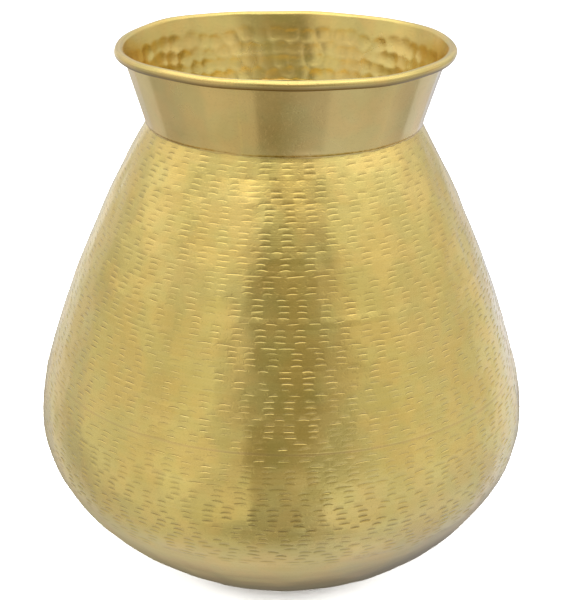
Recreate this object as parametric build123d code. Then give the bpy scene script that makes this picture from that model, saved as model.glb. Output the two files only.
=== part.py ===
"""Brass kalash: a hand-beaten water pot made of two shells, a flared collar and a wired rim.

Millimetres, +Z up, the vertical axis of the pot on Z, and the floor it stands on at Z = 0.
The front of the pot faces -Y.  Every wall is a sheet of even thickness, so each section is an
outer line and the same line set in by the sheet.

The outer line of the body is five arcs that run into each other.  A place on it is named by
its lean: the angle, in degrees, that the wall's outward normal makes with the horizontal.
It is -90 at the foot, 0 at the belly and positive on the shoulder.
"""
import os
from math import cos, degrees, radians, sin

from build123d import *

# Driving dimensions
BELLY_RADIUS = 130.0
SHEET = 1.2

FOOT_RADIUS_OF_CURVE = 56.0
BOWL_RADIUS_OF_CURVE = 116.5
LOWER_BELLY_RADIUS_OF_CURVE = 50.0
UPPER_BELLY_RADIUS_OF_CURVE = 98.0
SHOULDER_RADIUS_OF_CURVE = 577.0

FOOT_LEAN = -59.0
BOWL_LEAN = -26.0
SHOULDER_LEAN = 15.9
NECK_LEAN = 30.36

GIRTH_LEAN = 16.6
GIRTH_GAP = 0.9
GIRTH_CROWN = 0.15
GIRTH_FILLET = 0.5

COLLAR_SHEET = 1.1
COLLAR_FLARE = 16.6
COLLAR_RISE = 38.2
LIP_LENGTH = 2.5
LAP_GAP = 0.05
CREASE_FILLET = 1.3

BEAD_RADIUS = 2.42
BEAD_OPEN_ANGLE = 61.0
WIRE_GAP = 0.06
WIRE_BUTT_ANGLE = 0.6

SEAM_AZIMUTH = 254.5
SEAM_WIDTH = 1.2


def polar(centre, radius, angle):
    """The point at radius and angle, in degrees, about centre."""
    return Vector(
        centre.X + radius * cos(radians(angle)),
        centre.Y + radius * sin(radians(angle)),
    )


def next_centre(centre, radius, new_radius, lean):
    """The centre of an arc of new_radius that carries on smoothly from an arc at lean."""
    return polar(centre, radius - new_radius, lean)


def body_arcs(belly_height):
    """The five arcs of the outer line as (lean at start, lean at end, centre, radius)."""
    lower = Vector(BELLY_RADIUS - LOWER_BELLY_RADIUS_OF_CURVE, belly_height)
    bowl = next_centre(lower, LOWER_BELLY_RADIUS_OF_CURVE, BOWL_RADIUS_OF_CURVE, BOWL_LEAN)
    foot = next_centre(bowl, BOWL_RADIUS_OF_CURVE, FOOT_RADIUS_OF_CURVE, FOOT_LEAN)
    upper = Vector(BELLY_RADIUS - UPPER_BELLY_RADIUS_OF_CURVE, belly_height)
    shoulder = next_centre(
        upper, UPPER_BELLY_RADIUS_OF_CURVE, SHOULDER_RADIUS_OF_CURVE, SHOULDER_LEAN
    )
    return [
        (-90.0, FOOT_LEAN, foot, FOOT_RADIUS_OF_CURVE),
        (FOOT_LEAN, BOWL_LEAN, bowl, BOWL_RADIUS_OF_CURVE),
        (BOWL_LEAN, 0.0, lower, LOWER_BELLY_RADIUS_OF_CURVE),
        (0.0, SHOULDER_LEAN, upper, UPPER_BELLY_RADIUS_OF_CURVE),
        (SHOULDER_LEAN, NECK_LEAN, shoulder, SHOULDER_RADIUS_OF_CURVE),
    ]


# The belly stands at the height that puts the lowest arc's foot on the floor.
BELLY_HEIGHT = -(body_arcs(0.0)[0][2].Y - FOOT_RADIUS_OF_CURVE)
ARCS = body_arcs(BELLY_HEIGHT)


def wall_point(lean, inset=0.0):
    """The point of the body wall at lean, set in from the outer line by inset."""
    for start, end, centre, radius in ARCS:
        if lean <= end:
            return polar(centre, radius - inset, lean)
    raise ValueError("lean is past the neck")


def wall_line(lean_from, lean_to, inset=0.0):
    """The arcs of the wall line between two leans, lowest first."""
    line = []
    for start, end, centre, radius in ARCS:
        low = max(start, lean_from)
        high = min(end, lean_to)
        if low < high:
            angles = (low, (low + high) / 2, high)
            line.append(ThreePointArc(*[polar(centre, radius - inset, a) for a in angles]))
    return line


def section(edges):
    """A closed outline, drawn with the radius along X and the height along Y, stood up."""
    return Plane.XZ * make_face(Curve() + edges)


def turned(face, sweep=360.0):
    """A face turned about the pot's axis."""
    return revolve(face, Axis.Z, sweep)


def shoulder_step(length):
    """The change of lean over a length along the shoulder arc."""
    return degrees(length / SHOULDER_RADIUS_OF_CURVE)


BOWL_EDGE_LEAN = GIRTH_LEAN - shoulder_step(GIRTH_GAP / 2)
SHELL_EDGE_LEAN = GIRTH_LEAN + shoulder_step(GIRTH_GAP / 2)

# The neck: the lip and the collar are parallel, and both lean outwards by the flare.
UP_THE_COLLAR = Vector(sin(radians(COLLAR_FLARE)), cos(radians(COLLAR_FLARE)))
OUT_OF_COLLAR = Vector(cos(radians(COLLAR_FLARE)), -sin(radians(COLLAR_FLARE)))
CREASE = wall_point(NECK_LEAN)
COLLAR_FOOT = CREASE + OUT_OF_COLLAR * LAP_GAP
BEAD_CENTRE = COLLAR_FOOT + UP_THE_COLLAR * COLLAR_RISE + OUT_OF_COLLAR * BEAD_RADIUS


def lower_bowl():
    """The beaten bowl: the foot, the belly and the wall up to the girth joint."""
    foot = wall_point(-90.0)
    foot_inside = wall_point(-90.0, SHEET)
    axis_outside = Vector(0, foot.Y)
    axis_inside = Vector(0, foot_inside.Y)
    edges = wall_line(-90.0, BOWL_EDGE_LEAN) + wall_line(-90.0, BOWL_EDGE_LEAN, SHEET)
    edges.append(Line(wall_point(BOWL_EDGE_LEAN), wall_point(BOWL_EDGE_LEAN, SHEET)))
    edges.append(Line(axis_outside, foot))
    edges.append(Line(axis_inside, foot_inside))
    edges.append(Line(axis_outside, axis_inside))
    return turned(section(edges))


def upper_shell():
    """The shoulder, ending in a lip that turns up inside the collar."""
    # The inside of the bend, where the lip's inner face meets the shoulder's.
    half_bend = radians(NECK_LEAN + COLLAR_FLARE) / 2
    inside = polar(CREASE, -SHEET / cos(half_bend), (NECK_LEAN - COLLAR_FLARE) / 2)
    lip_outside = CREASE + UP_THE_COLLAR * LIP_LENGTH
    lip_inside = lip_outside - OUT_OF_COLLAR * SHEET
    edges = wall_line(SHELL_EDGE_LEAN, NECK_LEAN) + wall_line(SHELL_EDGE_LEAN, NECK_LEAN, SHEET)
    edges.append(Line(wall_point(NECK_LEAN, SHEET), inside))
    edges.append(Line(inside, lip_inside))
    edges.append(Line(lip_inside, lip_outside))
    edges.append(Line(lip_outside, CREASE))
    edges.append(Line(wall_point(SHELL_EDGE_LEAN), wall_point(SHELL_EDGE_LEAN, SHEET)))
    return turned(section(edges))


def girth_braze():
    """The ring of brazing metal that fills the joint between the bowl and the shoulder."""
    outer = [wall_point(BOWL_EDGE_LEAN), wall_point(SHELL_EDGE_LEAN)]
    inner = [wall_point(BOWL_EDGE_LEAN, SHEET), wall_point(SHELL_EDGE_LEAN, SHEET)]
    edges = [
        ThreePointArc(outer[0], wall_point(GIRTH_LEAN, -GIRTH_CROWN), outer[1]),
        ThreePointArc(inner[0], wall_point(GIRTH_LEAN, SHEET + GIRTH_FILLET), inner[1]),
        Line(outer[0], inner[0]),
        Line(outer[1], inner[1]),
    ]
    return turned(section(edges))


def collar_section():
    """The collar strip, rolled outwards at the top into the bead that holds the wire."""
    hollow_radius = BEAD_RADIUS - COLLAR_SHEET
    towards_collar = 180.0 - COLLAR_FLARE
    curl_end = towards_collar + BEAD_OPEN_ANGLE - 360.0
    curl_middle = (towards_collar + curl_end) / 2
    foot_outside = COLLAR_FOOT + OUT_OF_COLLAR * COLLAR_SHEET
    leaves_inside = polar(BEAD_CENTRE, BEAD_RADIUS, towards_collar)
    leaves_outside = polar(BEAD_CENTRE, hollow_radius, towards_collar)
    end_outside = polar(BEAD_CENTRE, BEAD_RADIUS, curl_end)
    end_inside = polar(BEAD_CENTRE, hollow_radius, curl_end)
    return section([
        Line(COLLAR_FOOT, leaves_inside),
        ThreePointArc(leaves_inside, polar(BEAD_CENTRE, BEAD_RADIUS, curl_middle), end_outside),
        Line(end_outside, end_inside),
        ThreePointArc(end_inside, polar(BEAD_CENTRE, hollow_radius, curl_middle), leaves_outside),
        Line(leaves_outside, foot_outside),
        Line(foot_outside, COLLAR_FOOT),
    ])


SEAM_ANGLE = degrees(SEAM_WIDTH / (COLLAR_FOOT.X + COLLAR_SHEET))


def from_seam(shape, offset):
    """A shape turned about the axis so that its start stands offset degrees past the seam."""
    return Rot(0, 0, SEAM_AZIMUTH + offset) * shape


def neck_collar():
    """The flared strip, open by the width of its upright seam."""
    return from_seam(turned(collar_section(), 360.0 - SEAM_ANGLE), SEAM_ANGLE / 2)


def collar_seam_braze():
    """The brazing metal that closes the collar's upright seam, from the foot to the curl."""
    return from_seam(turned(collar_section(), SEAM_ANGLE), -SEAM_ANGLE / 2)


def neck_braze():
    """Two rings of brazing metal: one in the crease outside, one on top of the lip inside."""
    foot_outside = COLLAR_FOOT + OUT_OF_COLLAR * COLLAR_SHEET
    fillet_lean = NECK_LEAN - shoulder_step(CREASE_FILLET + COLLAR_SHEET)
    crease_ring = section([
        Line(CREASE, COLLAR_FOOT),
        Line(COLLAR_FOOT, foot_outside),
        Line(foot_outside, wall_point(fillet_lean)),
        *wall_line(fillet_lean, NECK_LEAN),
    ])
    lip_outside = CREASE + UP_THE_COLLAR * LIP_LENGTH
    lip_inside = lip_outside - OUT_OF_COLLAR * SHEET
    against_collar = lip_outside + OUT_OF_COLLAR * LAP_GAP
    up_the_wall = against_collar + UP_THE_COLLAR * SHEET
    lip_ring = section([
        Line(lip_inside, against_collar),
        Line(against_collar, up_the_wall),
        Line(up_the_wall, lip_inside),
    ])
    return Compound(children=[turned(crease_ring), turned(lip_ring)])


def rim_wire():
    """The round wire inside the bead, butted end to end behind the collar's seam."""
    radius = BEAD_RADIUS - COLLAR_SHEET - WIRE_GAP
    disc = Plane.XZ * (Pos(BEAD_CENTRE.X, BEAD_CENTRE.Y) * Circle(radius))
    return from_seam(turned(disc, 360.0 - WIRE_BUTT_ANGLE), WIRE_BUTT_ANGLE / 2)


PARTS = {
    "lower_bowl": lower_bowl,
    "upper_shell": upper_shell,
    "girth_braze": girth_braze,
    "neck_collar": neck_collar,
    "collar_seam_braze": collar_seam_braze,
    "neck_braze": neck_braze,
    "rim_wire": rim_wire,
}


os.makedirs("parts", exist_ok=True)
for node, make in PARTS.items():
    export_step(make(), f"parts/{node}.step")
print(f"belly height {BELLY_HEIGHT:.2f}, crease radius {CREASE.X:.2f}, crease height {CREASE.Y:.2f}")
print(f"rim radius {BEAD_CENTRE.X + BEAD_RADIUS:.2f}, rim height {BEAD_CENTRE.Y + BEAD_RADIUS:.2f}")
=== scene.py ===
"""Looks for the beaten brass kalash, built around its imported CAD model.

Lengths are in millimetres until a mesh is made, and in metres from there on.  The pot's walls
are rings of points round the axis, stitched to each other, so a ring can follow the rows of
punch marks and have as many points as its own marks need.  A place on the body's outer line is
`down`: the length of line between it and the crease under the collar.  A place on the collar is
`rise`: its distance up the sheet from the collar's foot.  A place round the axis is `turn`, in
radians from +X, and `lift` is how far a point stands out from the plain wall.
"""
import math

import bpy
import numpy as np
from mathutils import Matrix, Vector, geometry


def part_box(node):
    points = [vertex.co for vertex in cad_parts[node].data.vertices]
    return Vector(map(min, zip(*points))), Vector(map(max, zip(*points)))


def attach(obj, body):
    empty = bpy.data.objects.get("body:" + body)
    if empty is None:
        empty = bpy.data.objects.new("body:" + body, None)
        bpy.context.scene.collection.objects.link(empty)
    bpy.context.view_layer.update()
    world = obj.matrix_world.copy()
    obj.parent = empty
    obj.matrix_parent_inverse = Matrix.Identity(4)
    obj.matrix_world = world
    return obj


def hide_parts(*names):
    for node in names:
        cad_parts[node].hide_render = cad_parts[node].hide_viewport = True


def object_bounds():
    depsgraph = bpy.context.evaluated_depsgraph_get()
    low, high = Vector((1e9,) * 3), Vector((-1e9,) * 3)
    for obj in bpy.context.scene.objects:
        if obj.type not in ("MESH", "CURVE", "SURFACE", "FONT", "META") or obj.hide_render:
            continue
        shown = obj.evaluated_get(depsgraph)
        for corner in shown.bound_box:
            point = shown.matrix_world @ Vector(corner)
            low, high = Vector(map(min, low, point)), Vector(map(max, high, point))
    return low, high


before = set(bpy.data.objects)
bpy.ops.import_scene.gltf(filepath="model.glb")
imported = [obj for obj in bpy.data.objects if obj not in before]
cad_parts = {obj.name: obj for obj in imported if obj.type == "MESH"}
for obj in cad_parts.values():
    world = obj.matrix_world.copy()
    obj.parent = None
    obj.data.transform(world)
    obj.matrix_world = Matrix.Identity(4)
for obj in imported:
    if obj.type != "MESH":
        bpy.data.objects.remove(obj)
CAD_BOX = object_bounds()

MM = 0.001
TURN = 2 * math.pi
rng = np.random.default_rng(11)


# ---------------------------------------------------------------- lines read from the frame

FACES_AWAY = 0.5
BOWL_CORE = 0.7
ON_THE_FLOOR = 0.01
LEAST_SHEET = 0.5


def node_points(node):
    """The corners of a CAD node as radii and heights in millimetres."""
    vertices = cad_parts[node].data.vertices
    flat = np.empty(len(vertices) * 3)
    vertices.foreach_get("co", flat)
    x, y, z = flat.reshape(-1, 3).T / MM
    return np.hypot(x, y), z


def outer_line(node, core_height, least_outward):
    """The outside of a turned CAD node as (radius, height) points, from the top down.

    Its faces look away from the point on the axis at `core_height`, and at least
    `least_outward` of their normals points away from the axis.
    """
    radius, height = node_points(node)
    places = set()
    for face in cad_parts[node].data.polygons:
        centre = face.center / MM
        away = Vector((centre.x, centre.y, centre.z - core_height)).normalized()
        outward = face.normal.xy.dot(centre.xy) / centre.xy.length
        if face.normal.dot(away) > FACES_AWAY and outward > least_outward:
            for corner in face.vertices:
                places.add((round(radius[corner], 2), round(height[corner], 2)))
    return sorted(places, key=lambda p: -math.atan2(p[1] - core_height, p[0]))


class SmoothLine:
    """A smooth curve through (radius, height) points, measured along its length."""

    NEARBY = 0.2

    def __init__(self, knots):
        self.knots = np.array(knots)
        steps = np.hypot(*np.diff(self.knots, axis=0).T)
        self.stops = np.concatenate([[0.0], np.cumsum(steps)])
        self.slopes = np.gradient(self.knots, self.stops, axis=0, edge_order=2)
        self.length = self.stops[-1]

    def at(self, down):
        """Radius and height at each distance along the line."""
        down = np.asarray(down, float)
        i = np.clip(np.searchsorted(self.stops, down) - 1, 0, len(self.stops) - 2)
        span = (self.stops[i + 1] - self.stops[i])[..., None]
        t = (down - self.stops[i])[..., None] / span
        start, end = self.knots[i], self.knots[i + 1]
        place = start * (2 * t**3 - 3 * t**2 + 1) + end * (3 * t**2 - 2 * t**3)
        place = place + self.slopes[i] * span * (t**3 - 2 * t**2 + t)
        place = place + self.slopes[i + 1] * span * (t**3 - t**2)
        return place[..., 0], place[..., 1]

    def outward(self, down):
        """The outward normal, as its radius and height parts."""
        r0, z0 = self.at(np.asarray(down, float) - self.NEARBY)
        r1, z1 = self.at(np.asarray(down, float) + self.NEARBY)
        length = np.hypot(r1 - r0, z1 - z0)
        return (z0 - z1) / length, (r1 - r0) / length


shell_low, shell_high = (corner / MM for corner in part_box("upper_shell"))
bowl_low, bowl_high = (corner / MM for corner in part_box("lower_bowl"))
wire_low, wire_high = (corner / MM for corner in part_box("rim_wire"))
collar_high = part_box("neck_collar")[1] / MM

bowl_core = bowl_low.z + BOWL_CORE * (bowl_high.z - bowl_low.z)
shell_line = outer_line("upper_shell", shell_low.z, 0.5)
bowl_line = outer_line("lower_bowl", bowl_core, -0.1)
FLAT_FOOT = max(radius for radius, height in bowl_line if height < bowl_low.z + ON_THE_FLOOR)
body = SmoothLine(shell_line + [place for place in bowl_line if place[0] >= FLAT_FOOT])
SHELL_EDGE = SmoothLine(shell_line).length
BOWL_EDGE = SHELL_EDGE + math.dist(shell_line[-1], bowl_line[0])
FOOT_EDGE = body.length

# The nearest corner to the shell's lower edge outside is the same edge inside.
radii, heights = node_points("upper_shell")
spaces = np.hypot(radii - shell_line[-1][0], heights - shell_line[-1][1])
SHEET = spaces[spaces > LEAST_SHEET].min()

# The collar leans outwards: `UP` runs up its inner face and `OUT` through its sheet.
radii, heights = node_points("neck_collar")
foot_inside = Vector((radii.min(), heights[radii.argmin()]))
foot_outside = Vector((radii[heights.argmin()], heights.min()))
COLLAR_SHEET = (foot_outside - foot_inside).length
OUT = (foot_outside - foot_inside).normalized()
UP = Vector((-OUT.y, OUT.x))
WIRE_RADIUS = (wire_high.z - wire_low.z) / 2
bead_centre = Vector((wire_high.x - WIRE_RADIUS, (wire_high.z + wire_low.z) / 2))
BEAD_RADIUS = collar_high.z - bead_centre.y
COLLAR_RISE = (bead_centre - foot_inside).dot(UP)
LIP = (shell_high.z - shell_line[0][1] + OUT.y * SHEET) / UP.y


# ---------------------------------------------------------------- random shapes in beaten metal


class Ripple:
    """A smooth random wave round the axis, about `size` millimetres high."""

    def __init__(self, orders, size):
        self.orders = np.array(orders)
        self.phases = rng.uniform(0, TURN, len(orders))
        self.sizes = size * rng.uniform(0.6, 1.0, len(orders)) / math.sqrt(len(orders))

    def __call__(self, turn):
        return np.cos(np.multiply.outer(turn, self.orders) + self.phases) @ self.sizes


class Patches:
    """Random lifts at a net of knots on a wall, joined by straight slopes."""

    def __init__(self, around, bottom, tall, size):
        self.tall = tall
        self.heights = rng.normal(0, size, (int(bottom / tall) + 3, around))

    def __call__(self, turn, down):
        rows, around = self.heights.shape
        column = np.mod(turn, TURN) / TURN * around
        row = np.clip(down / self.tall, 0, rows - 1.001)
        i, j = row.astype(int), column.astype(int) % around
        v, u = row - i, column - np.floor(column)
        k = (j + 1) % around
        upper = self.heights[i, j] * (1 - u) + self.heights[i, k] * u
        lower = self.heights[i + 1, j] * (1 - u) + self.heights[i + 1, k] * u
        return upper * (1 - v) + lower * v


class Flats:
    """Upright flats left by planishing, in bands that each have flats of their own."""

    def __init__(self, bottom, tall, around, strength, first_edge=0.0):
        self.tall = tall
        self.strength = strength
        self.first_edge = first_edge
        self.bands = []
        for band in range(int(bottom / tall) + 2):
            steps = rng.uniform(0.55, 1.45, around)
            edges = np.cumsum(steps) / steps.sum() * TURN
            self.bands.append(np.concatenate([[0.0], edges]))

    def __call__(self, turn, down, radius):
        turn = np.mod(turn - self.first_edge, TURN)
        level = down / self.tall
        total = np.zeros(np.broadcast(turn, level).shape)
        for band, edges in enumerate(self.bands):
            # Neighbouring bands fade into each other over a sixth of their height.
            share = np.clip(3.5 - 6 * np.abs(level - band - 0.5), 0, 1)
            if not share.any():
                continue
            i = np.clip(np.searchsorted(edges, turn, "right") - 1, 0, len(edges) - 2)
            total = total - share * (turn - edges[i]) * (edges[i + 1] - turn)
        return total * self.strength * radius / 2


class Dents:
    """Round hammer dents in rows, each row with a start of its own, that meet in ridges."""

    def __init__(self, first, pitch, wide, radius_at, rows, stray):
        self.first, self.pitch = first, pitch
        self.counts = np.array([
            max(3, round(TURN * radius_at(first + (row + 0.5) * pitch) / wide)) for row in range(rows)
        ])
        self.phases = rng.uniform(0, 1, rows)
        widest = self.counts.max()
        self.strays = rng.normal(0, stray, (2, rows, widest))
        self.depths = rng.uniform(0.6, 1.25, (rows, widest))

    def __call__(self, turn, down):
        """Lift in depths of a usual dent: about -1 in a dent's middle, and 0 beyond its edge."""
        turn, down = np.broadcast_arrays(np.mod(turn, TURN), down)
        level = (down - self.first) / self.pitch
        deepest = np.zeros(turn.shape)
        base = np.floor(level).astype(int)
        for row_step in (-1, 0, 1):
            row = base + row_step
            real = (row >= 0) & (row < len(self.counts))
            row = np.clip(row, 0, len(self.counts) - 1)
            cell = turn / TURN * self.counts[row] + self.phases[row]
            for cell_step in (-1, 0, 1):
                column = np.floor(cell).astype(int) + cell_step
                i = column % self.counts[row]
                across = cell - column - 0.5 - self.strays[0, row, i]
                along = level - row - 0.5 - self.strays[1, row, i]
                dent = self.depths[row, i] * np.clip(1 - 2 * (across**2 + along**2), 0, 1)
                deepest = np.maximum(deepest, np.where(real, dent, 0))
        return -deepest


def near(turn, middle, width):
    """1 at an angle round the pot, falling away smoothly on both sides of it."""
    away = np.angle(np.exp(1j * (turn - middle)))
    return np.exp(-((away / width) ** 2))


def between(value, stops):
    """The amount at a value, from (value, amount) stops joined by straight lines."""
    return np.interp(value, *zip(*stops))


# ---------------------------------------------------------------- walls made of rings


def even_turns(count, start=0.0, sweep=TURN):
    """Angles spread evenly round the axis, or from end to end of an open sweep."""
    if sweep == TURN:
        return np.arange(count) / count * TURN
    return start + np.linspace(0, sweep, count)


class Wall:
    """Rings of points round the axis, from the one that is stitched first to the last.

    A ring's first point is near turn 0, or at the start of the sweep of an open wall.  The
    value it hands on to the material is grime and painted shade above zero, and wiped metal
    with painted highlight below zero.
    """

    def __init__(self, sweep=TURN):
        self.open = sweep < TURN
        self.rings = []

    def ring(self, turn, radius, height, grime_shade_highlight=0.0):
        turn, radius, height, grime_shade_highlight = np.broadcast_arrays(turn, radius, height, grime_shade_highlight)
        self.rings.append((turn, radius, height, grime_shade_highlight))

    def body_ring(self, turn, down, lift, grime_shade_highlight=0.0):
        """A ring that stands out by `lift` from the body's outer line."""
        radius, height = body.at(down)
        out, up = body.outward(down)
        self.ring(turn, radius + out * lift, height + up * lift, grime_shade_highlight)

    def level_ring(self, turn, down, lift):
        """A body ring that is all at one place down the body's line."""
        self.body_ring(turn, np.full(turn.shape, down), lift)

    def stitch(self, a, b, starts):
        """Triangles between rings a and b: each edge joins the point across from its middle."""
        triangles = []
        middles = []
        for ring in (a, b):
            turn = self.rings[ring][0]
            after = turn[1:] if self.open else np.append(turn[1:], turn[0] + TURN)
            middles.append((turn[: len(after)] + after) / 2)
        for ring, other, side in ((a, b, "left"), (b, a, "right")):
            size, other_size = len(self.rings[ring][0]), len(self.rings[other][0])
            mine, theirs = middles if ring == a else middles[::-1]
            edge = np.arange(len(mine))
            facing = np.searchsorted(theirs, mine, side) % other_size + starts[other]
            here, there = edge + starts[ring], (edge + 1) % size + starts[ring]
            corners = (here, facing, there) if ring == a else (here, there, facing)
            triangles.append(np.stack(corners, 1))
        return np.concatenate(triangles)

    def mesh(self, name, looped):
        """The mesh object.  A looped wall's last ring meets its first; others end at poles."""
        sizes = [len(turn) for turn, *_ in self.rings]
        starts = np.concatenate([[0], np.cumsum(sizes)])
        turn, radius, height, grime_shade_highlight = (np.concatenate(part) for part in zip(*self.rings))
        points = np.stack([radius * np.cos(turn), radius * np.sin(turn), height], 1)
        last = len(self.rings) - 1
        faces = [self.stitch(i, i + 1, starts) for i in range(last)]
        caps = []
        if looped:
            faces.append(self.stitch(last, 0, starts))
        if self.open:
            for end in (starts[:-1], starts[1:] - 1):
                outline = [Vector((radius[i], height[i], 0)) for i in end]
                flat = np.array(geometry.tessellate_polygon([outline]))
                caps.append(facing_out(points, end[flat], points[end].mean(0), points.mean(0)))
        elif not looped:
            for ring in (0, last):
                around = np.arange(starts[ring], starts[ring + 1])
                pole = len(points)
                points = np.vstack([points, [0, 0, points[around, 2].mean()]])
                grime_shade_highlight = np.append(grime_shade_highlight, grime_shade_highlight[around].mean())
                pair = (around, np.roll(around, -1)) if ring == 0 else (np.roll(around, -1), around)
                faces.append(np.stack([np.full(len(around), pole), *pair], 1))
        return make_object(name, points, np.concatenate(faces), caps, grime_shade_highlight)


def facing_out(points, triangles, here, inside):
    """The triangles of a flat cap, turned to face away from the rest of the piece."""
    a, b, c = (points[triangles[:, corner]] for corner in range(3))
    normals = np.cross(b - a, c - a)
    wrong = normals @ (here - inside) < 0
    triangles[wrong] = triangles[wrong][:, ::-1]
    return triangles


def make_object(name, points, triangles, caps, grime_shade_highlight):
    """A smooth mesh object in metres, shaded by its larger faces, with each point's grime, painted
    shade and painted highlight.
    """
    mesh = bpy.data.meshes.new(name)
    mesh.from_pydata((points * MM).tolist(), [], np.concatenate([triangles, *caps]).tolist())
    a, b, c = (points[triangles[:, corner]] for corner in range(3))
    faces = np.cross(b - a, c - a)
    normals = np.zeros_like(points)
    for axis in range(3):
        weights = np.repeat(faces[:, axis], 3)
        normals[:, axis] = np.bincount(triangles.ravel(), weights, len(points))
    normals /= np.maximum(np.linalg.norm(normals, axis=1, keepdims=True), 1e-9)
    mesh.shade_smooth()
    mesh.normals_split_custom_set_from_vertices(normals.tolist())
    attribute = mesh.attributes.new("grime_shade_highlight", "FLOAT", "POINT")
    attribute.data.foreach_set("value", grime_shade_highlight.astype(np.float32))
    made = bpy.data.objects.new(name, mesh)
    bpy.context.scene.collection.objects.link(made)
    return made


# ---------------------------------------------------------------- the beaten body

ROW_PITCH = 2.78
FIRST_ROW = 3.2
LAST_ROW = 203.0
EDGE_MARGIN = 1.2

# Punch marks: their size, and how much they vary.
MARK_PITCH = 10.4
MARK_HALF = 2.65
MARK_WIDTH = 0.88
MARK_DEPTH = 0.27
BURR_HEIGHT = 0.05
LONGEST_HALF = 0.43
ARCH, ARCH_SPREAD, LEAN_SPREAD = 0.30, 0.14, 0.12
LENGTH_SPREAD = 0.1
COUNT_RANGE = (0.96, 1.04)
STACK_STRAY = 0.055
STACK_FORCE = (0.7, 1.15)
MARK_FORCE = (0.65, 1.15)
MISSED_SHARE = 0.03
LOOSE_MARK, LOOSER_BRIDGE = 0.03, 0.05

# Some bridging rows have longer marks that nearly touch, close above the next stack.
CHAINED_SHARE = 0.35
CHAINED_LENGTH = 1.45
CHAINED_PITCH = 0.85

# How the marks change on the way down: their grime and painted shade, their depth and how far they
# stray.
MARK_SHADE_AND_GRIME = ((35, 1.0), (70, 1.1), (125, 0.8), (160, 0.6), (178, 1.15))
DEPTH = ((60, 0.65), (110, 1.1))
LOOSENESS = ((165, 0.0), (180, 0.10))

CREASES = (78.0, 107.0, 119.5)
CREASE_HEIGHT, CREASE_WIDTH = 0.12, 1.1
GIRTH_DIP, GIRTH_DIP_WIDTH = 0.03, 2.5
TOP_SETTLES, FOOT_SETTLES = 12, 30
BULGE_HEIGHT, BULGE_TURN, BULGE_SWEEP = 0.9, TURN / 2 + 0.25, 0.8
BULGE_DOWN, BULGE_LENGTH = 212, 24
FOOT_DENT = 0.12
INSIDE_DENT = 0.3
BOTTOM_DENT = 0.15
EDGE_ROUNDING = 0.1

LIP_POINTS = 240
EDGE_POINTS = 420
GIRTH_POINTS = 700
BOTTOM_SPACING = 3.5
PLANISHED_SPACING = 1.9

out_of_round = Ripple([2, 3], 0.35)
body_flats = Flats(FOOT_EDGE, 9 * ROW_PITCH, 28, 0.26)
body_cells = Patches(64, FOOT_EDGE, 4 * ROW_PITCH, 0.16)
body_waves = Patches(16, FOOT_EDGE, 34.0, 0.20)
foot_dents = Dents(LAST_ROW - 4, 9.0, 10.0, lambda down: body.at(down)[0], 8, 0.12)
inside_dents = Dents(0.0, 11.0, 12.5, lambda down: max(body.at(down)[0], 20.0), 28, 0.13)
row_wander = Ripple([1, 2, 3, 5], 0.5)
creases = [(down, Ripple([1, 2, 3, 4], CREASE_HEIGHT)) for down in CREASES]


def bulge(turn, down):
    """The pot is fuller low on its left side."""
    beside = near(turn, BULGE_TURN, BULGE_SWEEP)
    return BULGE_HEIGHT * beside * np.exp(-(((down - BULGE_DOWN) / BULGE_LENGTH) ** 2))


def body_lift(turn, down):
    """How far the beaten wall stands out from the plain one, which it meets at both ends."""
    radius = body.at(down)[0]
    settled = np.clip(down / TOP_SETTLES, 0, 1)
    settled = settled * np.clip((FOOT_EDGE - down) / FOOT_SETTLES, 0, 1)
    lift = out_of_round(turn) + body_waves(turn, down) + bulge(turn, down)
    lift = lift + body_flats(turn, down, radius) + body_cells(turn, down)
    for place, strength in creases:
        lift = lift + np.abs(strength(turn)) * np.exp(-(((down - place) / CREASE_WIDTH) ** 2))
    joint = (SHELL_EDGE + BOWL_EDGE) / 2
    lift = lift - GIRTH_DIP * np.exp(-(((down - joint) / GIRTH_DIP_WIDTH) ** 2))
    planished = np.clip((down - LAST_ROW + 4) / 8, 0, 1)
    return settled * (lift + FOOT_DENT * planished * foot_dents(turn, down))


def in_order(turn, *others):
    """Angles brought into one turn and sorted, with what goes with them."""
    turn = np.mod(turn, TURN)
    order = np.argsort(turn)
    return [turn[order]] + [np.broadcast_to(other, turn.shape)[order] for other in others]


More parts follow.
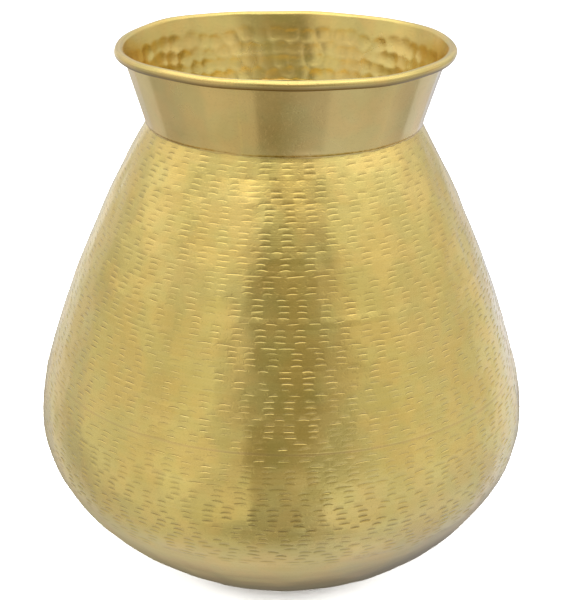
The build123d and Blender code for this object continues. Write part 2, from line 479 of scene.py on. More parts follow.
class MarkRow:
    """A row of short punch marks, each a shallow cut that arches up in its middle."""

    # The places of a mark's points along it, in halves of its length.
    ALONG = np.array([-1.12, -0.8, -0.3, 0.3, 0.8, 1.12])
    # Across a mark: place in widths, share of the depth, burr thrown up, and grime with painted
    # shade, most in the cut's floor and upper wall, where shade falls.
    ACROSS = (
        (-0.46, 0.0, 0.5, 0.3),
        (-0.20, 1.0, 0.0, 1.35),
        (0.12, 0.60, 0.0, 0.45),
        (0.54, 0.0, 1.5, 0.0),
    )

    def __init__(self, down, middles, half, depth):
        count = len(middles)
        radius = body.at(down)[0]
        span = np.minimum(half / radius, LONGEST_HALF * TURN / count)
        self.down = down
        self.shade_and_grime_level = between(down, MARK_SHADE_AND_GRIME)
        ends = middles[:, None] + self.ALONG * span[:, None]
        after = np.append(middles[1:], middles[0] + TURN)
        gap = (ends[:, -1] + after + self.ALONG[0] * np.roll(span, -1)) / 2
        self.turn = np.column_stack([ends, gap]).ravel()
        taper = np.append(np.sqrt(np.clip(1 - np.abs(self.ALONG) ** 3, 0, 1)), 0)
        arch = np.append(np.clip(self.ALONG**2, 0, 1) - 0.4, 0)
        lean = np.append(self.ALONG, 0)
        self.share = np.outer(depth, taper).ravel()
        self.taper = np.tile(taper, count)
        self.arch = np.outer(rng.normal(ARCH, ARCH_SPREAD, count), arch).ravel()
        self.arch = self.arch + np.outer(rng.normal(0, LEAN_SPREAD, count), lean).ravel()

    def add_to(self, wall, scale=1.0, fade=1.0):
        """Rings across the marks, which `scale` makes larger and `fade` shallower, with less grime
        and painted shade.
        """
        share = self.share * fade
        for across, sink, burr, grime_and_shade in self.ACROSS:
            shape = across * MARK_WIDTH * scale * (0.55 + 0.45 * self.taper)
            turn, down = self.turn, self.down + row_wander(self.turn) + shape + self.arch
            lift = body_lift(turn, down) - MARK_DEPTH * scale * sink * share
            lift = lift + BURR_HEIGHT * burr * share
            turn, down, lift, grime_shade_highlight = in_order(turn, down, lift, grime_and_shade * self.shade_and_grime_level * share)
            wall.body_ring(turn, down, lift, grime_shade_highlight)


def mark_rows(first, last):
    """Stacks of three marks in line, then a row that bridges the gaps between them."""
    rows = []
    down = first
    while down < last:
        radius = body.at(down + 1.5 * ROW_PITCH)[0]
        count = round(TURN * radius / MARK_PITCH * rng.uniform(*COUNT_RANGE))
        phase = rng.uniform()
        step = TURN / count
        stray = rng.normal(0, STACK_STRAY, count)
        force = rng.uniform(*STACK_FORCE, count)
        chained = rng.uniform() < CHAINED_SHARE
        for place in range(4):
            if down > last:
                break
            bridge = place == 3
            middles = (np.arange(count) + phase + stray + 0.5 * bridge) * step
            loose = LOOSE_MARK + LOOSER_BRIDGE * bridge + between(down, LOOSENESS)
            middles = middles + rng.normal(0, loose, count) * step
            longer = CHAINED_LENGTH if bridge and chained else 1.0
            half = MARK_HALF * longer * rng.normal(1.0, LENGTH_SPREAD, count)
            depth = force * rng.uniform(*MARK_FORCE, count)
            depth = depth * (rng.uniform(size=count) > MISSED_SHARE)
            rows.append(MarkRow(down, middles, half, depth * between(down, DEPTH)))
            down += ROW_PITCH * (CHAINED_PITCH if bridge and chained else 1.0)
    return rows


all_rows = mark_rows(FIRST_ROW, LAST_ROW)


def points_at(down, spacing):
    """How many points a ring of the body needs for a spacing."""
    return int(TURN * body.at(down)[0] / spacing)


def add_inner_side(wall, downs, spacing):
    """Adds the inside of the body's sheet, with its hammer dents."""
    for down in downs:
        turn = even_turns(points_at(down, spacing))
        dent = INSIDE_DENT * inside_dents(turn, down)
        wall.level_ring(turn, down, body_lift(turn, down) - SHEET + dent)


def joint_edge(edge, inwards):
    """A sheet's edge at the girth joint as (down, depth) places, from the outside inwards."""
    return [
        (edge + 0.6 * inwards, 0.0),
        (edge + 0.04 * inwards, 0.0),
        (edge, 0.08),
        (edge, SHEET - EDGE_ROUNDING),
    ]


def add_edge(wall, places):
    """Adds a sheet's edge at the girth joint, from (down, depth) places."""
    turn = even_turns(EDGE_POINTS)
    for down, depth in places:
        wall.level_ring(turn, down, body_lift(turn, down) - depth)


def build_upper_shell():
    """The shoulder and the lip that turns up inside the collar."""
    wall = Wall()
    lip_turn = even_turns(LIP_POINTS)
    crease = Vector(shell_line[0])
    lip_top = crease + UP * LIP
    for place in (lip_top - OUT * 0.15, lip_top - UP * 0.2, crease + UP * 0.6):
        wall.ring(lip_turn, place.x, place.y)
    wall.level_ring(lip_turn, 0.5, 0)
    for row in all_rows:
        if row.down < SHELL_EDGE - EDGE_MARGIN:
            row.add_to(wall)
    add_edge(wall, joint_edge(SHELL_EDGE, -1))
    add_inner_side(wall, np.arange(SHELL_EDGE - 0.5, 3.0, -2.7), 2.9)
    wall.level_ring(lip_turn, 1.0, -SHEET)
    for rise, inset in ((0.3, SHEET), (2.5, SHEET), (LIP - 0.2, SHEET), (LIP, SHEET - 0.15)):
        place = crease + UP * rise - OUT * inset
        wall.ring(lip_turn, place.x, place.y)
    return wall.mesh("shoulder", looped=True)


def build_lower_bowl():
    """The bowl: marked down to its lower side, planished below, and flat where it stands."""
    wall = Wall()
    for radius in (10.0, 20.0, 30.0, 40.0, FLAT_FOOT - 1.0):
        turn = even_turns(int(TURN * radius / BOTTOM_SPACING))
        dent = BOTTOM_DENT * inside_dents(turn, FOOT_EDGE + 50 - radius)
        wall.ring(turn, radius, SHEET + dent)
    add_inner_side(wall, np.arange(FOOT_EDGE - 1.0, BOWL_EDGE + 0.5, -2.5), 2.7)
    add_edge(wall, reversed(joint_edge(BOWL_EDGE, 1)))
    for row in all_rows:
        if row.down > BOWL_EDGE + EDGE_MARGIN:
            fade = np.clip((LAST_ROW + 6 - row.down) / 20, 0.3, 1)
            scale = 1.0 + 0.30 * np.clip((row.down - 162) / 12, 0, 1)
            row.add_to(wall, scale, fade)
    for down in np.arange(LAST_ROW + 2.5, FOOT_EDGE + 0.1, PLANISHED_SPACING):
        down = min(down, FOOT_EDGE)
        turn = even_turns(points_at(down, PLANISHED_SPACING))
        wall.level_ring(turn, down, body_lift(turn, down))
    for radius in (FLAT_FOOT - 4.0, 25.0, 10.0):
        wall.ring(even_turns(int(TURN * radius / BOTTOM_SPACING)), radius, 0.0)
    return wall.mesh("bowl", looped=False)


def build_girth_braze():
    """The brazed joint between the shoulder and the bowl, a little uneven in its width."""
    wall = Wall()
    turn = even_turns(GIRTH_POINTS)
    upper = SHELL_EDGE - 0.35 + Ripple(range(3, 60, 4), 0.22)(turn)
    lower = BOWL_EDGE + 0.35 + Ripple(range(4, 60, 4), 0.22)(turn)
    crown = -0.006 + Ripple(range(5, 80, 5), 0.004)(turn)
    middle = (upper + lower) / 2
    lift = body_lift(turn, middle)
    section = (
        (upper, -0.10),
        (upper, -0.012),
        (upper * 0.7 + lower * 0.3, crown * 0.8),
        (middle, crown),
        (upper * 0.3 + lower * 0.7, crown * 0.8),
        (lower, -0.012),
        (lower, -0.10),
        (lower, -SHEET + 0.12),
        (middle, -SHEET - 0.3),
        (upper, -SHEET + 0.12),
    )
    for down, above in section:
        wall.body_ring(turn, down, lift + above)
    return wall.mesh("girth_joint", looped=True)


# ---------------------------------------------------------------- the collar, its bead and wire

SEAM = math.radians(254.5)
SEAM_HALF = 0.6
SEAM_OVERLAP = 0.1
WIRE_GAP_HALF = 0.5
WIRE_POINTS, WIRE_SIDES = 360, 17
BRAZE_POINTS = 640
CURL_START = math.atan2(-OUT.y, -OUT.x)
CURL_SWEEP = math.radians(360.0 - 61.0)

# Radii of the collar that its dents are spaced for and that its flats are cut for.
DENTS_RADIUS, FLATS_RADIUS = 75.0, 78.0
WIDE_DENT, SMALL_DENT = 0.08, 0.46

# How many rings each face of the collar's section has, and the spacing of points on them.
INSIDE_RINGS, BEAD_RINGS, CURL_RINGS, OUTSIDE_RINGS = 38, 26, 11, 26
SPACING = {"inside": 1.05, "bead": 1.7, "curl": 4.0, "outside": 1.5}

# Knocks that the rim has had, as their turn, their width in radians and how far they moved it.
PULLS_OUT = ((0.0, 0.6, 0.9),)
PULLS_UP = ((0.6, 0.5, 0.8), (TURN / 2, 0.45, -1.4), (2.45, 0.35, 0.9))

wide_dents = Dents(-29.6, 7.9, 10.0, lambda down: DENTS_RADIUS, 4, 0.12)
collar_flats = Flats(COLLAR_RISE, COLLAR_RISE, 30, 0.4, math.radians(260.4))
inner_flats = Flats(COLLAR_RISE, COLLAR_RISE, 34, 0.2)
collar_patches = Patches(26, COLLAR_RISE, 12.0, 0.05)
bead_in_out = Ripple([2, 3, 5, 8, 13], 0.30)
bead_up_down = Ripple([2, 3, 4, 7, 12], 0.28)
foot_curl = Ripple([2, 5, 9, 14], 0.25)
small_dents = Dents(-30.0, 6.8, 8.4, lambda down: DENTS_RADIUS, 5, 0.12)


def collar_shift(turn, rise):
    """How far the collar's wavy, knocked rim carries a place outwards and upwards."""
    share = np.clip(rise / COLLAR_RISE, 0, 1) ** 2
    out, up = bead_in_out(turn), bead_up_down(turn)
    for middle, width, distance in PULLS_OUT:
        out = out + distance * near(turn, middle, width)
    for middle, width, distance in PULLS_UP:
        up = up + distance * near(turn, middle, width)
    return share * out, share * up


def curl_places(face, radius, steps, way):
    """Places round the bead, whose normals point outwards, or inwards if `way` is -1."""
    places = []
    for step in steps:
        angle = CURL_START - step * CURL_SWEEP
        ray = Vector((math.cos(angle), math.sin(angle)))
        places.append((face, bead_centre + ray * radius, ray * way, COLLAR_RISE))
    return places


def collar_section():
    """The collar's section: the face, place, normal and rise of every ring, all the way round."""
    places = []
    for rise in np.arange(0.0, COLLAR_RISE + 0.01, COLLAR_RISE / INSIDE_RINGS):
        places.append(("inside", foot_inside + UP * rise, -OUT, rise))
    places += curl_places("bead", BEAD_RADIUS, np.linspace(0, 1, BEAD_RINGS + 1)[1:], 1)
    inner = BEAD_RADIUS - COLLAR_SHEET
    places += curl_places("curl", inner, np.linspace(1, 0, CURL_RINGS + 1)[:-1], -1)
    for rise in np.arange(COLLAR_RISE, -0.01, -COLLAR_RISE / OUTSIDE_RINGS):
        places.append(("outside", foot_outside + UP * rise, OUT, rise))
    return places


def collar_lift(face, turn, rise):
    """Dents on the inside, and flats on the outside that end under the bead at a wavy foot."""
    if face == "inside":
        beaten = WIDE_DENT * wide_dents(turn, -rise) + SMALL_DENT * small_dents(turn, -rise)
        return beaten + inner_flats(turn, rise, FLATS_RADIUS) + collar_patches(turn, rise)
    if face == "outside":
        near_foot = np.exp(-rise / 1.6)
        under_bead = np.clip((COLLAR_RISE - rise) / 6, 0, 1)
        planished = collar_flats(turn, rise, FLATS_RADIUS) + collar_patches(turn, rise)
        return planished * under_bead + near_foot * (0.25 + foot_curl(turn))
    return 0.0


def collar_shade_and_highlight(face, normal, rise):
    """Painted shade with grime in the curl, under the bead and on its underside; wiped metal and
    painted highlight inside and on the bead's top.
    """
    if face == "curl":
        return 1.6
    if face == "outside":
        return 1.5 * math.exp(rise - COLLAR_RISE)
    if face == "inside" or normal.x <= 0 or normal.y > 0.4:
        return -1.0
    return 1.4 * min(max(0.3 - 1.1 * normal.y, 0.0), 1.0)


def collar_piece(name, start, sweep, spacing_scale, proud):
    """A stretch of the collar: the strip itself, or the brazed seam that closes it."""
    wall = Wall(sweep)
    for face, place, normal, rise in collar_section():
        count = max(5, int(sweep * place.x / (SPACING[face] * spacing_scale)))
        turn = even_turns(count, start, sweep)
        lift = collar_lift(face, turn, rise)
        if face != "curl":
            lift = lift + proud(turn, rise)
        out, up = collar_shift(turn, rise)
        radius, height = place.x + normal.x * lift + out, place.y + normal.y * lift + up
        wall.ring(turn, radius, height, collar_shade_and_highlight(face, normal, rise))
    return wall.mesh(name, looped=True)


def build_collar():
    """The collar's strip, whose ends leave a gap for the seam."""
    half = SEAM_HALF / foot_outside.x
    return collar_piece("collar", SEAM + half, TURN - 2 * half, 1.0, lambda turn, rise: 0.0)


def build_collar_seam():
    """The seam is filed nearly flush, and stands out a hair in its middle."""
    half = (SEAM_HALF + SEAM_OVERLAP) / foot_outside.x
    uneven = Ripple(range(1, 9), 0.008)

    def proud(turn, rise):
        middle = np.cos((turn - SEAM) / half * TURN / 4)
        return (0.004 + uneven(np.float64(rise / 6))) * middle - 0.006

    return collar_piece("collar_seam", SEAM - half, 2 * half, 0.25, proud)


def build_crease_braze():
    """Brazing metal in the crease outside the collar."""
    wall = Wall()
    turn = even_turns(BRAZE_POINTS)
    low = 1.7 + Ripple(range(3, 90, 6), 0.25)(turn)
    hollow = Ripple(range(5, 90, 5), 0.05)(turn)
    wall.body_ring(turn, low, body_lift(turn, low) - 0.10)
    # The rings by the collar's foot carry painted shade in the crease.
    wall.body_ring(turn, low * 0.75, body_lift(turn, low * 0.75) + 0.06 + hollow, 0.1)
    for through, rise, grime_and_shade in ((0.90, 0.25, 0.25), (0.5, 0.4, 0.0), (0.05, 0.3, 0.0)):
        place = foot_inside + OUT * COLLAR_SHEET * through + UP * rise
        wall.ring(turn, place.x, place.y, grime_and_shade)
    wall.level_ring(turn, 0.4, -0.3)
    return wall.mesh("crease_braze", looped=True)


def build_lip_braze():
    """Brazing metal on top of the lip inside the collar, uneven where it shows."""
    wall = Wall()
    turn = even_turns(BRAZE_POINTS)
    top = Vector(shell_line[0]) + UP * LIP
    uneven = Ripple(range(3, 70, 5), 0.15)(turn)
    for through, rise in ((-SHEET + 0.1, -0.1), (-0.45, 0.2), (0.1, 0.6), (0.2, 0.0), (-0.4, -0.3)):
        place = top + OUT * through
        above = rise + uneven * (rise > 0)
        wall.ring(turn, place.x + UP.x * above, place.y + UP.y * above)
    return wall.mesh("lip_braze", looped=True)


def build_rim_wire():
    """The drawn wire inside the bead, which follows the rim's waves."""
    half = WIRE_GAP_HALF / bead_centre.x
    sweep = TURN - 2 * half
    wall = Wall(sweep)
    turn = even_turns(WIRE_POINTS, SEAM + half, sweep)
    out, up = collar_shift(turn, COLLAR_RISE)
    for angle in np.linspace(0, TURN, WIRE_SIDES + 1)[:-1]:
        radius = bead_centre.x + WIRE_RADIUS * math.cos(angle) + out
        wall.ring(turn, radius, bead_centre.y - WIRE_RADIUS * math.sin(angle) + up)
    return wall.mesh("wire", looped=True)


# ---------------------------------------------------------------- materials

WHITE = (1.0, 1.0, 1.0, 1.0)
# The brown of grime and of painted shade in the marks, the crease, the curl and under the bead.
GRIME_AND_SHADE = (0.20, 0.125, 0.045, 1.0)
# Lighter wiped metal, which is also a painted highlight on the bead's top.
WIPED_AND_HIGHLIGHT = (1.10, 1.13, 1.06, 1.0)
GREENER, REDDER = (0.97, 1.012, 1.0), (1.03, 0.993, 0.96)
COAT_ROUGHNESS = 0.32

# Painted shade and painted reflection near the foot, as what is left of the metal's colour by
# height: much darker low down, then paler and bluer a little higher.  The last stop is 1 / 14 of
# a metre up, or a little less on the left and more on the right, where the painted shade reaches
# higher.
FOOT_SHADE_SCALE = 14.0
FOOT_SHADE_SLANT = -0.15
FOOT_SHADE_AND_REFLECTION = (
    (0.0, (0.20, 0.17, 0.12)),
    (0.14, (0.28, 0.26, 0.20)),
    (0.33, (0.42, 0.39, 0.34)),
    (0.43, (0.59, 0.56, 0.53)),
    (0.52, (0.75, 0.73, 0.75)),
    (0.62, (0.88, 0.86, 0.92)),
    (0.76, (0.98, 0.98, 1.10)),
    (0.88, (1.0, 1.02, 1.16)),
    (1.0, 1.0),
)

# How much rougher the metal is near the foot, by height in tenths of a metre.
MATTE_SCALE = 10.0
MATTE = ((0.30, 0.16), (0.85, 0.0))


class Nodes:
    """A short way to add and join shader nodes."""

    def __init__(self, tree):
        self.tree = tree
        tree.nodes.clear()

    def add(self, kind, inputs=None, **settings):
        node = self.tree.nodes.new("ShaderNode" + kind)
        for name, value in settings.items():
            setattr(node, name, value)
        for name, value in (inputs or {}).items():
            socket = node.inputs[name]
            if isinstance(value, bpy.types.NodeSocket):
                self.tree.links.new(value, socket)
            else:
                socket.default_value = value
        return node

    def maths(self, operation, a, b=0.0, c=0.0, clamp=False):
        node = self.add("Math", {0: a, 1: b, 2: c}, operation=operation, use_clamp=clamp)
        return node.outputs[0]

    def ramp(self, value, stops, interpolation="EASE"):
        """Colours or greys at places along a value."""
        node = self.add("ValToRGB", {"Fac": value})
        ramp = node.color_ramp
        ramp.interpolation = interpolation
        while len(ramp.elements) < len(stops):
            ramp.elements.new(0.5)
        for element, (place, colour) in zip(ramp.elements, stops):
            element.position = place
            colour = (colour,) * 3 if isinstance(colour, float) else colour
            element.color = (*colour, 1.0)
        return node.outputs["Color"]

    def mix(self, share, a, b):
        node = self.add("Mix", {0: share, 6: a, 7: b}, data_type="RGBA")
        return node.outputs[2]

    def times(self, a, b):
        """One colour multiplied by another."""
        inputs = {0: 1.0, 6: a, 7: b}
        return self.add("Mix", inputs, data_type="RGBA", blend_type="MULTIPLY").outputs[2]

    def noise(self, place, scale, detail=3.0, stretch=(1.0, 1.0, 1.0)):
        """Smooth noise with `scale` cells to the metre, times the stretch along each axis."""
        mapped = self.add("Mapping", {"Vector": place, "Scale": stretch})
        node = self.add("TexNoise", {"Vector": mapped.outputs[0], "Scale": scale, "Detail": detail})
        return node.outputs["Fac"]


def brass_tone(nodes, place, clouds, light, deep, brushed):
    """Clean metal: clouds and drawn streaks of tone, patches of hue, and worn specks."""
    drawn = 0.8 * brushed
    streaks = nodes.maths("MULTIPLY", nodes.noise(place, 90.0, 3.0, (0.25, 0.25, 9.0)), drawn)
    clouds = nodes.maths("MULTIPLY", clouds, 1 - drawn)
    tone = nodes.ramp(nodes.maths("ADD", clouds, streaks), ((0.32, deep), (0.66, light)))
    hue = nodes.ramp(nodes.noise(place, 70.0, 2.0), ((0.36, GREENER), (0.64, REDDER)))
    worn = nodes.ramp(nodes.noise(place, 1500.0, 2.0), ((0.28, 0.86), (0.42, 1.0)))
    return nodes.times(nodes.times(tone, hue), worn)


def brass_bump(nodes, place, brushed, pits):
    """Brushed lines round the pot, and fine pits."""
    lines = nodes.noise(place, 260.0, 2.0, (0.12, 0.12, 12.0))
    hollows = nodes.ramp(nodes.noise(place, 700.0, 1.0), ((0.30, 0.0), (0.40, 1.0)))
    relief = nodes.maths("MULTIPLY", lines, brushed)
    relief = nodes.maths("ADD", relief, nodes.maths("MULTIPLY", hollows, pits))
    return nodes.add("Bump", {"Height": relief, "Distance": 0.0001, "Strength": 0.5}).outputs[0]


def brass(name, light, deep, roughness, brushed, pits, coat):
    """Beaten brass between two tones, browned in its grooves by grime and painted shade, lightened by
    painted highlight where wiped, with a thin clear coat.

    Towards the foot it has painted shade, so that it gets greyer and darker there, with a paler
    painted reflection just above; it is also rougher and duller there.
    """
    material = bpy.data.materials.new(name)
    material.use_nodes = True
    nodes = Nodes(material.node_tree)
    place = nodes.add("TexCoord").outputs["Object"]
    across, _, height = nodes.add("SeparateXYZ", {0: place}).outputs
    grime_shade_highlight = nodes.add("Attribute", attribute_name="grime_shade_highlight").outputs["Fac"]
    clouds = nodes.noise(place, 28.0, 4.0)

    tone = brass_tone(nodes, place, clouds, light, deep, brushed)
    # Painted highlight below zero, and grime with painted shade above it.
    wiped_and_highlight = nodes.maths("MULTIPLY", grime_shade_highlight, -1.0, clamp=True)
    tone = nodes.mix(wiped_and_highlight, tone, nodes.times(tone, WIPED_AND_HIGHLIGHT))
    grime_and_shade = nodes.maths("MULTIPLY", grime_shade_highlight, 0.6, clamp=True)
    colour = nodes.mix(grime_and_shade, tone, GRIME_AND_SHADE)
    # Painted shade near the foot, and a paler painted reflection above it, by height.
    level = nodes.maths("MULTIPLY_ADD", across, FOOT_SHADE_SLANT, height)
    level = nodes.maths("MULTIPLY", level, FOOT_SHADE_SCALE)
    colour = nodes.times(colour, nodes.ramp(level, FOOT_SHADE_AND_REFLECTION))

    rough = nodes.maths("ADD", roughness - 0.10, nodes.maths("MULTIPLY", clouds, 0.20))
    rough = nodes.maths("ADD", rough, nodes.maths("MULTIPLY", grime_and_shade, 0.15))
    matte = nodes.ramp(nodes.maths("MULTIPLY", height, MATTE_SCALE), MATTE)
    rough = nodes.maths("ADD", rough, matte)

    shader = nodes.add("BsdfPrincipled", {
        "Base Color": colour,
        "Metallic": 1.0,
        "Roughness": rough,
        "Normal": brass_bump(nodes, place, brushed, pits),
        "Coat Weight": coat,
        "Coat Roughness": COAT_ROUGHNESS,
    })
    nodes.add("OutputMaterial", {"Surface": shader.outputs[0]})
    return material


body_brass = brass(
    "beaten_brass", (0.82, 0.628, 0.20), (0.77, 0.572, 0.158),
    roughness=0.23, brushed=0.5, pits=0.45, coat=0.5,
)
collar_brass = brass(
    "collar_brass", (0.745, 0.553, 0.208), (0.66, 0.482, 0.168),
    roughness=0.25, brushed=0.10, pits=0.5, coat=0.15,
)
wire_brass = brass(
    "wire_brass", (0.74, 0.56, 0.20), (0.66, 0.48, 0.16),
    roughness=0.30, brushed=0.3, pits=0.1, coat=0.1,
)
braze_metal = brass(
    "brazing_metal", (0.755, 0.562, 0.206), (0.68, 0.50, 0.166),
    roughness=0.25, brushed=0.2, pits=0.4, coat=0.2,
)


# ---------------------------------------------------------------- the pieces on the frame


def place_piece(piece, node, material):
    """A piece that rides on the pot and stands for one CAD node."""
    piece.data.materials.append(material)
    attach(piece, "root")
    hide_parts(node)


place_piece(build_upper_shell(), "upper_shell", body_brass)
place_piece(build_lower_bowl(), "lower_bowl", body_brass)
place_piece(build_girth_braze(), "girth_braze", braze_metal)
place_piece(build_collar(), "neck_collar", collar_brass)
place_piece(build_collar_seam(), "collar_seam_braze", braze_metal)
place_piece(build_crease_braze(), "neck_braze", braze_metal)
place_piece(build_lip_braze(), "neck_braze", braze_metal)
place_piece(build_rim_wire(), "rim_wire", wire_brass)


# ---------------------------------------------------------------- the floor


def build_floor():
    """A plain pale floor, which the pot doesn't mirror: it mirrors the studio below."""
    mesh = bpy.data.meshes.new("floor")
    reach = 30.0
    corners = [(-reach, -reach, 0), (reach, -reach, 0), (reach, reach, 0), (-reach, reach, 0)]
    mesh.from_pydata(corners, [], [(0, 1, 2, 3)])
    floor = bpy.data.objects.new("floor", mesh)
    bpy.context.scene.collection.objects.link(floor)
    material = bpy.data.materials.new("pale_floor")
    material.use_nodes = True
    nodes = Nodes(material.node_tree)
    shader = nodes.add("BsdfPrincipled", {
        "Base Color": (0.72, 0.715, 0.705, 1.0),
        "Roughness": 0.9,
        "Specular IOR Level": 0.1,
    })
    nodes.add("OutputMaterial", {"Surface": shader.outputs[0]})
    mesh.materials.append(material)
    floor.visible_glossy = False


# ---------------------------------------------------------------- the studio's light
#
# A direction has three places in the studio, each from 0 to 1.  `share` runs from the wall
# behind the pot round to the wall behind the camera, so that both sides are near 0.5.  `side`
# runs from left to right, and `rise` from straight below to straight above.

# The colour of the walls by share: near the ground, higher up, and above eye level.
GROUND_WALL = (
    (0.0, (0.46, 0.44, 0.38)),
    (0.03, (0.56, 0.55, 0.52)),
    (0.08, (0.86, 0.86, 0.88)),
    (0.30, (0.80, 0.80, 0.80)),
    (0.60, (0.88, 0.88, 0.88)),
    (0.84, (0.92, 0.92, 0.92)),
    (0.95, (0.86, 0.86, 0.86)),
)
LOW_WALL = (
    (0.0, (0.48, 0.47, 0.43)),
    (0.012, (0.58, 0.58, 0.57)),
    (0.045, (0.98, 0.99, 1.02)),
    (0.12, (0.90, 0.91, 0.94)),
    (0.35, (0.76, 0.77, 0.78)),
    (0.60, (0.84, 0.85, 0.88)),
    (0.84, (0.87, 0.87, 0.87)),
    (0.95, (0.82, 0.82, 0.81)),
)
HIGH_WALL = (
    (0.0, (0.80, 0.80, 0.82)),
    (0.20, (0.85, 0.85, 0.87)),
    (0.36, (0.94, 0.94, 0.96)),
    (0.60, (0.84, 0.84, 0.86)),
    (0.82, (0.79, 0.79, 0.79)),
    (0.90, (0.82, 0.82, 0.82)),
    (0.95, (0.75, 0.75, 0.75)),
)
GROUND_TO_LOW = ((0.12, 0.0), (0.26, 1.0))
LOW_TO_HIGH = ((0.45, 0.0), (0.60, 1.0))

# The dark strip behind the camera, which gives the pot its dark middle.  It is wide and
# browner above eye level and in one stretch near the ground, and narrow elsewhere.
NARROW_STRIP = (
    (0.33, (1.0, 1.0, 1.0)),
    (0.42, (0.62, 0.61, 0.56)),
    (0.56, (0.62, 0.61, 0.56)),
    (0.65, (0.93, 0.93, 0.92)),
    (0.76, (1.0, 1.0, 1.0)),
)
WIDE_STRIP = (
    (0.29, (1.0, 1.0, 1.0)),
    (0.40, (0.42, 0.40, 0.29)),
    (0.61, (0.44, 0.42, 0.31)),
    (0.73, (0.70, 0.69, 0.64)),
    (0.88, (1.0, 1.0, 1.0)),
)
STRIP_WIDTH = ((0.085, 0.0), (0.10, 0.8), (0.13, 0.8), (0.16, 0.0), (0.40, 0.0), (0.56, 1.0))
STRIP_SHARE = ((0.5, 0.0), (0.6, 1.0))

# How far the walls are washed out to white, by rise: straight below, and at the ceiling.
WASHED = (
    (0.0, 0.80),
    (0.014, 0.70),
    (0.05, 0.30),
    (0.10, 0.0),
    (0.72, 0.0),
    (0.82, 0.4),
    (0.90, 1.0),
)

# A dark zone behind the pot and below eye level, which browns the pot's outline.
DARK_ZONE = (0.24, 0.21, 0.16, 1.0)
DARK_SHARE = ((0.0, 1.0), (0.14, 0.0))
DARK_RISE = ((0.02, 0.0), (0.08, 0.6), (0.2, 0.95), (0.30, 1.0), (0.33, 0.0))

# Brighter and cooler light low on the right.
RIGHT_LIGHT = (1.14, 1.20, 1.45, 1.0)
RIGHT_SIDE = ((0.52, 0.0), (0.66, 1.0), (0.78, 0.85), (0.95, 0.5))
RIGHT_RISE = ((0.0, 0.15), (0.02, 0.5), (0.10, 1.0), (0.36, 1.0), (0.43, 0.0))

# The light's strength by rise.
STRENGTH = (
    (0.0, (0.78, 0.79, 0.85)),
    (0.1, (0.71, 0.72, 0.73)),
    (0.3, (0.82, 0.82, 0.83)),
    (0.38, (0.88, 0.89, 0.92)),
    (0.46, (0.89, 0.89, 0.89)),
    (0.55, (0.80, 0.79, 0.73)),
    (0.61, (0.95, 0.95, 0.92)),
    (0.66, (0.97, 0.97, 0.96)),
    (0.80, (1.05, 1.06, 1.08)),
)

# The brighter ceiling, as halves of its strength.  It comes down lower on both sides.
CEILING = (
    (0.80, (0.5, 0.5, 0.5)),
    (0.85, (0.62, 0.62, 0.61)),
    (0.92, (0.86, 0.85, 0.83)),
    (0.955, (0.58, 0.58, 0.58)),
    (0.98, (0.58, 0.58, 0.58)),
    (1.0, (1.0, 1.0, 1.0)),
)
CEILING_SHARE = ((0.32, 0.0), (0.46, 0.10), (0.66, 0.08), (0.84, 0.0))
DOUBLE = (2.0, 2.0, 2.0, 1.0)

# Soft unevenness all over the studio.
CLOUDS = ((0.30, (0.80, 0.80, 0.82)), (0.70, (1.18, 1.17, 1.13)))


def studio_places(nodes, direction):
    """A direction's share, side and rise."""
    x, y, z = nodes.add("SeparateXYZ", {0: direction}).outputs
    level = nodes.maths("SUBTRACT", 1.0, nodes.maths("MULTIPLY", z, z), clamp=True)
    level = nodes.maths("SQRT", level)
    back = nodes.maths("DIVIDE", y, nodes.maths("MAXIMUM", level, 0.02))
    right = nodes.maths("DIVIDE", x, nodes.maths("MAXIMUM", level, 0.85))
    share = nodes.maths("MULTIPLY_ADD", back, -0.5, 0.5)
    side = nodes.maths("MULTIPLY_ADD", right, 0.5, 0.5)
    rise = nodes.maths("MULTIPLY_ADD", z, 0.5, 0.5)
    return share, side, rise


def studio_walls(nodes, share, side, rise):
    """The colour of the walls, with the dark strip, the dark zone and the light on the right."""
    low, high = nodes.ramp(share, LOW_WALL), nodes.ramp(share, HIGH_WALL)
    walls = nodes.mix(nodes.ramp(rise, GROUND_TO_LOW), nodes.ramp(share, GROUND_WALL), low)
    walls = nodes.mix(nodes.ramp(rise, LOW_TO_HIGH), walls, high)

    narrow, wide = nodes.ramp(side, NARROW_STRIP), nodes.ramp(side, WIDE_STRIP)
    strip = nodes.mix(nodes.ramp(rise, STRIP_WIDTH, "LINEAR"), narrow, wide)
    walls = nodes.times(walls, nodes.mix(nodes.ramp(share, STRIP_SHARE), WHITE, strip))
    walls = nodes.mix(nodes.ramp(rise, WASHED), walls, WHITE)

    dark = nodes.times(nodes.ramp(share, DARK_SHARE), nodes.ramp(rise, DARK_RISE, "LINEAR"))
    walls = nodes.mix(dark, walls, DARK_ZONE)
    right = nodes.times(nodes.ramp(side, RIGHT_SIDE), nodes.ramp(rise, RIGHT_RISE))
    return nodes.mix(right, walls, nodes.times(walls, RIGHT_LIGHT))


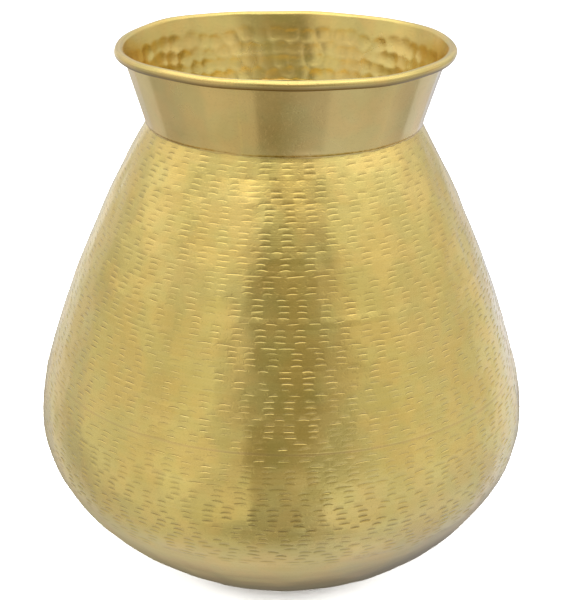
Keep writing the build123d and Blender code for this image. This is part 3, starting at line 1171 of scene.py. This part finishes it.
def build_world():
    """Soft studio light from all round, which only the camera sees as plain white."""
    world = bpy.data.worlds.new("studio")
    bpy.context.scene.world = world
    world.use_nodes = True
    nodes = Nodes(world.node_tree)
    direction = nodes.add("TexCoord").outputs["Generated"]
    share, side, rise = studio_places(nodes, direction)
    walls = studio_walls(nodes, share, side, rise)
    strength = nodes.ramp(rise, STRENGTH, "LINEAR")
    lowered = nodes.maths("ADD", rise, nodes.ramp(share, CEILING_SHARE))
    ceiling = nodes.times(nodes.ramp(lowered, CEILING, "LINEAR"), DOUBLE)
    clouds = nodes.ramp(nodes.noise(direction, 4.0, 2.0, (1.0, 1.0, 0.5)), CLOUDS)
    light = nodes.times(nodes.times(walls, strength), nodes.times(ceiling, clouds))
    seen = nodes.add("LightPath").outputs["Is Camera Ray"]
    colour = nodes.mix(seen, light, WHITE)
    background = nodes.add("Background", {"Color": colour, "Strength": 1.0})
    nodes.add("OutputWorld", {"Surface": background.outputs[0]})


def add_lamp(name, place, size, energy):
    """A wide soft light that faces the pot and whitens the floor, and isn't mirrored."""
    data = bpy.data.lights.new(name, "AREA")
    data.shape = "SQUARE"
    data.size = size
    data.energy = energy
    lamp = bpy.data.objects.new(name, data)
    lamp.location = place
    lamp.rotation_euler = Vector(place).to_track_quat("Z", "Y").to_euler()
    lamp.visible_glossy = False
    bpy.context.scene.collection.objects.link(lamp)


def build_lamps():
    """One light overhead, and one low on each side that reaches in under the belly."""
    add_lamp("overhead", (0, 0, 2.2), size=3.0, energy=112.0)
    for name, side in (("left", -1), ("right", 1)):
        add_lamp(name, (1.25 * side, -0.35, 0.45), size=0.9, energy=70.0)


# ---------------------------------------------------------------- the camera

CAMERA_DISTANCE = 0.730
CAMERA_ELEVATION = math.radians(22.62)
CAMERA_ROLL = math.radians(0.63)
CAMERA_LENS = 81.54
AIM_FROM_MIDDLE = Vector((0.0039, 0.0, -0.0005))


def build_camera():
    """A camera that looks down on the pot's front from arm's length."""
    low, high = CAD_BOX
    aim = (low + high) / 2 + AIM_FROM_MIDDLE
    back = Vector((0.0, -math.cos(CAMERA_ELEVATION), math.sin(CAMERA_ELEVATION)))
    data = bpy.data.cameras.new("camera")
    data.lens = CAMERA_LENS
    data.clip_start = 0.01
    camera = bpy.data.objects.new("camera", data)
    turned = (-back).to_track_quat("-Z", "Y").to_matrix().to_4x4()
    place = Matrix.Translation(aim + back * CAMERA_DISTANCE)
    camera.matrix_world = place @ turned @ Matrix.Rotation(CAMERA_ROLL, 4, "Z")
    bpy.context.scene.collection.objects.link(camera)
    bpy.context.scene.camera = camera


build_floor()
build_world()
build_lamps()
build_camera()
bpy.context.scene.view_settings.view_transform = "Standard"
